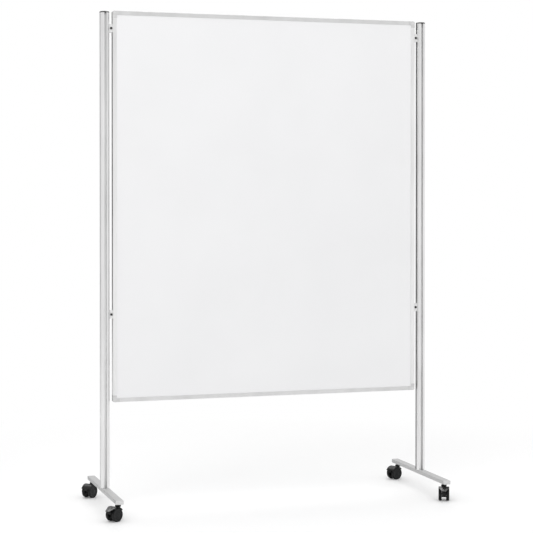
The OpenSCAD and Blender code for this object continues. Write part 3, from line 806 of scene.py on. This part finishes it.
knob_profile = np.concatenate([
    [(0, -shank), (SHANK_R, -shank), (SHANK_R, 0), (KNOB_R - KNOB_CHAMFER, 0),
     (KNOB_R, KNOB_CHAMFER)],
    ellipse_arc((KNOB_R - KNOB_ROUND, KNOB_H - KNOB_ROUND), KNOB_ROUND, 0, 90, 5),
    [(SOCKET_R + SOCKET_CHAMFER, KNOB_H), (SOCKET_R, KNOB_H - SOCKET_CHAMFER),
     (SOCKET_R, KNOB_H - SOCKET_DEPTH), (0, KNOB_H - SOCKET_DEPTH)]])
knobs = []
for level in ("upper", "lower"):
    for side in ("left", "right"):
        name = f"{level}_{side}_slider"
        edged(name + "_moulding", name, SLIDER_NYLON, "board", 0.5, 3)
        x = (knob_low[0] + KNOB_R) if side == "left" else (knob_high[0] - KNOB_R)
        middle = (x, knob_low[1] + KNOB_H, BOX[name][:, 2].mean())
        knobs.append(lathe(knob_profile, middle, (0, -1, 0), 128, knob_ripple))
piece("clamp_knob_mouldings", knobs, KNOB_NYLON, "board", ["clamp_knobs"])
for node in ("slider_screws", "rail_inserts", "post_bolts", "castor_sockets"):
    dress(node, ZINC)
print("sliders and knobs:", len(knobs), "of each")

# %% [markdown]
# ## Castors
#
# A furniture castor has two wheels on one axle, a thin web between them and a hood over
# them that turns on the steel stem. The front two also have a brake pedal, a tongue-like
# lever pinned in a fork in the web. Each castor is turned its own way, so its pieces are
# placed by three directions of its own: ahead along the trail, aside along the axle, and
# up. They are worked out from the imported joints.

# %% Castor directions
CASTORS = ["left_front", "left_rear", "right_rear", "right_front"]
WHEEL_R, TRAIL = JOINT["left_front_roll_a"]["pos_m"][2], 20 * MM


def castor_frame(name):
    """The floor point under the swivel, and the directions ahead, aside and up."""
    x, y, _ = JOINT[name + "_swivel"]["pos_m"]
    up = np.array([0.0, 0, 1])
    aside = unit(np.array(JOINT[name + "_roll_a"]["axis"], float))
    ahead = np.cross(aside, up)
    if ahead @ (np.array(JOINT[name + "_roll_a"]["pos_m"]) - (x, y, 0)) < 0:
        aside, ahead = -aside, -ahead
    return np.array([x, y, 0]), ahead, aside, up


for name in CASTORS:
    print(name, "castor trails towards", np.round(castor_frame(name)[1][:2], 2))

# %% [markdown]
# ### Stems
#
# A stem is turned from bar: a shank that plugs into the socket in the foot, a thin black
# collar under it, and a plain end that the hood turns on.

# %% Stems
STEM_R, COLLAR_R, CHAMFER = 4 * MM, 6 * MM, 0.5 * MM
COLLAR_AIR, COLLAR_TOP = 0.3 * MM, FOOT_Z  # air over the hood; the collar's top meets the foot
COLLAR_GROOVE = 1.15 * MM  # its middle, below the collar's top


def groove(radius, height, mouth, floor, depth):
    """Four points of a groove with sloping sides, sunk into a round wall at a height."""
    return [(radius, height - mouth / 2), (radius - depth, height - floor / 2),
            (radius - depth, height + floor / 2), (radius, height + mouth / 2)]


for name in CASTORS:
    low, high = BOX[name + "_stem"][:, 2]
    collar_low = BOX[name + "_hood"][1, 2] + COLLAR_AIR
    profile = [(0, low), (STEM_R - CHAMFER, low), (STEM_R, low + CHAMFER),
               (STEM_R, collar_low), (COLLAR_R - CHAMFER, collar_low),
               (COLLAR_R, collar_low + CHAMFER)]
    profile += groove(COLLAR_R, COLLAR_TOP - COLLAR_GROOVE, mouth=0.9 * MM, floor=0.3 * MM,
                      depth=0.4 * MM)
    profile += [(COLLAR_R, COLLAR_TOP), (STEM_R, COLLAR_TOP), (STEM_R, high - CHAMFER),
                (STEM_R - CHAMFER, high), (0, high)]
    piece(name + "_stem_turning", [lathe(profile, castor_frame(name)[0], (0, 0, 1), 48)],
          BLACK_STEEL, "stand", [name + "_stem"])
    dress(name + "_axle", ZINC)
print("stem collars:", round((COLLAR_TOP - collar_low) / MM, 1), "mm high")

# %% [markdown]
# ### Hoods
#
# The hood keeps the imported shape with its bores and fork, because the brake and the stem
# move inside it; a fine bevel softens its edges as the mould does.

# %% Hoods
for name in CASTORS:
    edged(name + "_hood_moulding", name + "_hood", CASTOR_NYLON, name + "_castor",
          0.45, 3)
print("hoods:", len(CASTORS))

# %% [markdown]
# ### Wheels
#
# The wheels are lathe work: a round-shouldered tread with two fine grooves, a dished face
# with a raised ring, a domed hub, and a hollow inner side with a blind bore for the axle.
# A thin guard ring on the inner side nearly touches the web and keeps threads out.

# %% Wheels
WHEEL_IN, WHEEL_W = 9.5 * MM, 11.5 * MM  # inner side from the castor's middle; width
RIM_IN, HUB_OUT, BORE_DEPTH = 21 * MM, 7 * MM, 9.8 * MM
AXLE_BORE, SHOULDER, HOLLOW = 3.05 * MM, 2.5 * MM, 5 * MM
BREAK, FILLET, RIM_ROUND = 0.3 * MM, 1 * MM, 0.6 * MM
GUARD_R, GUARD_W, GUARD_H = 22.6 * MM, 0.9 * MM, 0.75 * MM
FACE = WHEEL_W - 1 * MM  # the dished outer face lies this far out
RIM_TOP, RIM_FOOT = RIM_IN - 0.2 * MM, RIM_IN - 2 * MM
RING_OUT, RING_IN, RING_H, RING_SLOPE = 14.6 * MM, 12 * MM, 0.5 * MM, 0.4 * MM
HUB_FOOT, HUB_DOME, HUB_TOP = 8.4 * MM, (7.6 * MM, 0.95 * MM), 0.97 * MM
GROOVES = [groove(WHEEL_R, share * WHEEL_W, mouth=0.7 * MM, floor=0.35 * MM, depth=0.3 * MM)
           for share in (0.36, 0.64)]
wheel_profile = np.concatenate([
    [(0, BORE_DEPTH), (AXLE_BORE, BORE_DEPTH), (AXLE_BORE, BREAK), (AXLE_BORE + BREAK, 0),
     (HUB_OUT - BREAK, 0), (HUB_OUT, BREAK), (HUB_OUT, HOLLOW - FILLET)],
    ellipse_arc((HUB_OUT + FILLET, HOLLOW - FILLET), FILLET, 180, 90, 4)[1:],
    ellipse_arc((RIM_IN - FILLET, HOLLOW - FILLET), FILLET, 90, 0, 4),
    [(RIM_IN, BREAK), (RIM_IN + BREAK, 0), (GUARD_R - GUARD_W, 0),
     (GUARD_R - 0.75 * GUARD_W, -GUARD_H), (GUARD_R - 0.25 * GUARD_W, -GUARD_H), (GUARD_R, 0)],
    ellipse_arc((WHEEL_R - SHOULDER, SHOULDER), SHOULDER, -90, 0, 6)[1:],
    *GROOVES,
    ellipse_arc((WHEEL_R - SHOULDER, WHEEL_W - SHOULDER), SHOULDER, 0, 90, 6),
    ellipse_arc((RIM_TOP, WHEEL_W - RIM_ROUND), RIM_ROUND, 90, 180, 3),
    ellipse_arc((RIM_FOOT, FACE + RIM_ROUND), RIM_ROUND, 0, -90, 3)[1:],
    [(RING_OUT, FACE), (RING_OUT - RING_SLOPE, FACE + RING_H),
     (RING_IN + RING_SLOPE, FACE + RING_H), (RING_IN, FACE), (HUB_FOOT, FACE)],
    ellipse_arc((0, FACE), HUB_DOME, 6, 84, 8),
    [(0, FACE + HUB_TOP)]])
for name in CASTORS:
    origin, ahead, aside, up = castor_frame(name)
    for letter, hand in (("a", 1), ("b", -1)):
        middle = origin + TRAIL * ahead + hand * WHEEL_IN * aside + WHEEL_R * up
        wheel = lathe(wheel_profile, middle, hand * aside, 96)
        piece(f"{name}_wheel_{letter}_moulding", [wheel], TREAD, f"{name}_roller_{letter}",
              [f"{name}_wheel_{letter}"])
print("wheels:", 2 * len(CASTORS), "with", len(wheel[0]), "points each")

# %% [markdown]
# ### Brake pedals
#
# A pedal is a flat plate shaped like a tongue, 3 mm thick, with ribs across it for the
# shoe to grip. It slopes down from the top of the hood. Under it an eye runs on a steel
# pin through the web. Its side view is drawn on two axes, ahead and up from the floor
# point of the castor, and its outline is carried through its thickness.

# %% Pedal outlines
PLATE_T, TONGUE_T, PIN_R, EYE_R = 3 * MM, 6 * MM, 1.55 * MM, 3.4 * MM
HOOD_R, ROOT_ANGLE = 28.7 * MM, np.radians(74)  # the hood's outside, and where the plate starts
ROOT = np.array([TRAIL, WHEEL_R]) + (HOOD_R + PLATE_T / 2) * np.array(
    [np.cos(ROOT_ANGLE), np.sin(ROOT_ANGLE)])
TIP = np.array([58 * MM, WHEEL_R + 16 * MM])
origin, ahead, _, up = castor_frame("left_front")
spot = np.array(JOINT["left_front_brake_press"]["pos_m"]) - origin
PIN = np.array([spot @ ahead, spot @ up])
length, slope = np.linalg.norm(TIP - ROOT), unit(TIP - ROOT)
lean = np.array([-slope[1], slope[0]])

HALF_ROOT, HALF_TIP, STRAIGHT = 19 * MM, 9.3 * MM, 6.6 * MM
PLAN_ROUNDS = [1.5 * MM, 8 * MM, 3.5 * MM]  # at the root, where it narrows, at the tip
half = [(0, -HALF_ROOT), (STRAIGHT, -HALF_ROOT), (length, -HALF_TIP)]
plan = rounded(half + [(x, -y) for x, y in half[::-1]], PLAN_ROUNDS + PLAN_ROUNDS[::-1], 6)

turn = np.arctan2(slope[1], slope[0]) + np.radians(np.linspace(180, 360, 17))
eye = PIN + EYE_R * np.stack([np.cos(turn), np.sin(turn)], axis=1)
reach = (ROOT - PLATE_T / 4 * lean - PIN) @ lean  # from the pin up into the plate
tongue = np.concatenate([eye, [PIN + EYE_R * slope + reach * lean,
                               PIN - EYE_R * slope + reach * lean]])
print("pedal plate:", round(length / MM, 1), "mm long")

# %% [markdown]
# ### The two pedals
#
# The ribs lie across the plate and shorten as it narrows. The side view is placed on each
# front castor by that castor's own directions, so one drawing serves both.

# %% Brake pedals
RIBS = np.linspace(9, 25, 5) * MM
RIB_FOOT, RIB_TOP, RIB_H, RIB_SUNK = 0.5 * MM, 0.3 * MM, 0.4 * MM, 0.1 * MM
RIB_HALF, RIB_TAPER = 15.5 * MM, 0.36  # half length at the root, and its loss along the plate


def pedal_rib(place, root, along, aside, rise):
    """A low bar across the plate's upper face, at a place along it."""
    half = RIB_HALF - RIB_TAPER * place
    section = rounded([(place - RIB_FOOT, 0), (place + RIB_FOOT, 0), (place + RIB_TOP, RIB_H),
                       (place - RIB_TOP, RIB_H)], 0.1 * MM, 2)
    start = root + (PLATE_T / 2 - RIB_SUNK) * rise + half * aside
    return prism([section], start, along, rise, 2 * half, 0.2 * MM, 2)


for name in ("left_front", "right_front"):
    origin, ahead, aside, up = castor_frame(name)
    plane = np.array([ahead, up])
    along, rise, root = slope @ plane, lean @ plane, origin + ROOT @ plane
    plate = prism([plan], root - PLATE_T / 2 * rise, along, aside, PLATE_T, 0.9 * MM, 5)
    ribs = [pedal_rib(place, root, along, aside, rise) for place in RIBS]
    lug = prism([tongue, ring(PIN_R) + PIN], origin + TONGUE_T / 2 * aside, ahead, up, TONGUE_T)
    piece(name + "_pedal_moulding", [plate, lug] + ribs, PEDAL_NYLON, name + "_brake",
          [name + "_pedal"])
    dress(name + "_pedal_pin", ZINC)
print("pedals:", len(RIBS), "ribs on each")

# %% [markdown]
# ## Floor
#
# The stand is shown in a plain white studio. Its floor is painted, so that it keeps the
# soft shadow of the castors. Far from the stand the paint fades into pure white, for the
# camera and for whatever mirrors the floor, and then no horizon shows.

# %% Floor
def seen_by_eye(tree):
    """1 for a ray from the camera, also when metal or glass has passed it on, else 0."""
    ray = add(tree, "ShaderNodeLightPath").outputs
    passed = add(tree, "ShaderNodeMath", {"operation": "MAXIMUM"},
                 {0: ray["Is Glossy Ray"], 1: ray["Is Transmission Ray"]})
    return add(tree, "ShaderNodeMath", {"operation": "MAXIMUM"},
               {0: ray["Is Camera Ray"], 1: passed})


def floor_plane(half, steps):
    """A square floor about the origin, facing up: (x, y, 0) on an even grid."""
    a = np.linspace(-half, half, steps + 1)
    x, y = np.meshgrid(a, a)
    spots = np.stack([x, y, 0 * x], axis=-1).reshape(-1, 3)
    return spots, grid_faces(steps + 1, steps + 1, closed=False)


FADE_FROM, FADE_TO, FLOOR_HALF = 1.1, 2.4, 12
FLOOR_PAINT, tree, paint = finish("white_studio_floor", {"Base Color": linear("FAFAFA"),
                                                         "Roughness": 0.6})
spot = add(tree, "ShaderNodeTexCoord").outputs["Object"]
away = add(tree, "ShaderNodeVectorMath", {"operation": "LENGTH"}, {0: spot}).outputs["Value"]
far = add(tree, "ShaderNodeMapRange", {"interpolation_type": "SMOOTHSTEP",
                                       "From Min": FADE_FROM, "From Max": FADE_TO},
          {"Value": away})
share = add(tree, "ShaderNodeMath", {"operation": "MULTIPLY"}, {0: far, 1: seen_by_eye(tree)})
white = add(tree, "ShaderNodeEmission", {"Strength": 1.0})
blend = add(tree, "ShaderNodeMixShader", links={0: share, 1: paint, 2: white})
tree.links.new(blend.outputs[0], tree.nodes["Material Output"].inputs["Surface"])

spots, quads = floor_plane(FLOOR_HALF, 8)
floor_mesh = bpy.data.meshes.new("studio_floor")
floor_mesh.from_pydata(spots.tolist(), [], quads.tolist())
floor_mesh.materials.append(FLOOR_PAINT)
floor = bpy.data.objects.new("studio_floor", floor_mesh)
bpy.context.scene.collection.objects.link(floor)
print("floor:", 2 * FLOOR_HALF, "m across, all white from", FADE_TO, "m out")

# %% [markdown]
# ## Air
#
# Even light from all around stands for the studio's white walls. To the eye they are pure
# white, so bright metal has something white to mirror. As a light they are dimmer, or
# pale plastic and enamel would burn out.

# %% World
AIR_LIGHT = 0.74
world = bpy.data.worlds.new("studio_air")
world.use_nodes = True
air = world.node_tree
air.nodes.clear()
tones = {"data_type": "RGBA", 6: (AIR_LIGHT, AIR_LIGHT, AIR_LIGHT, 1), 7: (1, 1, 1, 1)}
tone = add(air, "ShaderNodeMix", tones, {0: seen_by_eye(air)})
glow = add(air, "ShaderNodeBackground", {"Strength": 1.0}, {"Color": tone.outputs[2]})
add(air, "ShaderNodeOutputWorld", links={"Surface": glow})
bpy.context.scene.world = world
print("air light:", AIR_LIGHT)

# %% [markdown]
# ## Lamps
#
# Three large soft lamps light the matt surfaces from the right, the left and above, and
# are never mirrored, so they leave no bright squares in metal or plastic. The left one
# brightens the near side of the board. A fourth, narrow lamp behind the stand is only
# mirrored: it draws the light edge along the pedals and the hoods.

# %% Lamps
def lamp(name, place, target, size, watts, mirrored=False):
    """A soft lamp, size wide and high, that faces its target. It either lights matt
    surfaces only, or is only mirrored in shiny ones."""
    data = bpy.data.lights.new(name, "AREA")
    data.shape, (data.size, data.size_y), data.energy = "RECTANGLE", size, watts
    thing = bpy.data.objects.new(name, data)
    thing.location = place
    thing.rotation_euler = (Vector(target) - Vector(place)).to_track_quat("-Z", "Y").to_euler()
    thing.visible_glossy, thing.visible_diffuse = mirrored, not mirrored
    bpy.context.scene.collection.objects.link(thing)
    return thing


LAMPS = [lamp("key_lamp", (5.2, -3.6, 2.6), (0, 0, 0.9), (3.5, 3.5), 20),
         lamp("left_lamp", (-2.6, -3.6, 3.6), (-0.3, 0, 1.4), (3.2, 3.2), 51),
         lamp("top_lamp", (0, 0, 5.0), (0, 0, 0), (6.0, 6.0), 95),
         lamp("glint_lamp", (-0.1, 3.2, 5.0), (-1.4, 0, 0), (4.8, 1.0), 160, mirrored=True)]
print("lamps:", len(LAMPS))

# %% [markdown]
# ## Dark card
#
# A bright metal in a white room has no edges. Studios stand a dark card behind and to one
# side, where only the object's sides mirror it. This one is unseen by the camera and casts
# no shadow.

# %% Dark card
def card(name, low, high, paint):
    """A flat upright card between two corners, seen only in reflections."""
    (x0, y0, z0), (x1, y1, z1) = low, high
    mesh = bpy.data.meshes.new(name)
    mesh.from_pydata([(x0, y0, z0), (x1, y1, z0), (x1, y1, z1), (x0, y0, z1)], [], [(0, 1, 2, 3)])
    mesh.materials.append(paint)
    thing = bpy.data.objects.new(name, mesh)
    thing.visible_camera = thing.visible_diffuse = thing.visible_shadow = False
    bpy.context.scene.collection.objects.link(thing)


CARD_PAINT, _, _ = finish("black_card", {"Base Color": linear("141415"), "Roughness": 0.9})
card("left_card", (-4.6, 2.4, 0.0), (-0.6, 4.2, 3.2), CARD_PAINT)
print("finishes in all:", len(FINISHES))

# %% [markdown]
# ## Camera
#
# The camera stands in front and to the left with a long lens, about two thirds up the
# posts. It is all but level, so the posts stay upright, and the lens is shifted down
# instead of tilted. The Standard view shows a colour as it is written.

# %% Camera
camera_data = bpy.data.cameras.new("camera")
camera_data.lens, camera_data.sensor_width = 105.37, 36.0
camera_data.shift_y = -0.11
camera = bpy.data.objects.new("camera", camera_data)
camera.location = (-1.8775, -5.8805, 1.211)
camera.rotation_euler = np.radians([89.43, 0, -17.67])
bpy.context.scene.collection.objects.link(camera)
bpy.context.scene.camera = camera
bpy.context.scene.view_settings.view_transform = "Standard"
print("camera:", round(camera.location.length, 2), "m from the stand's floor point")
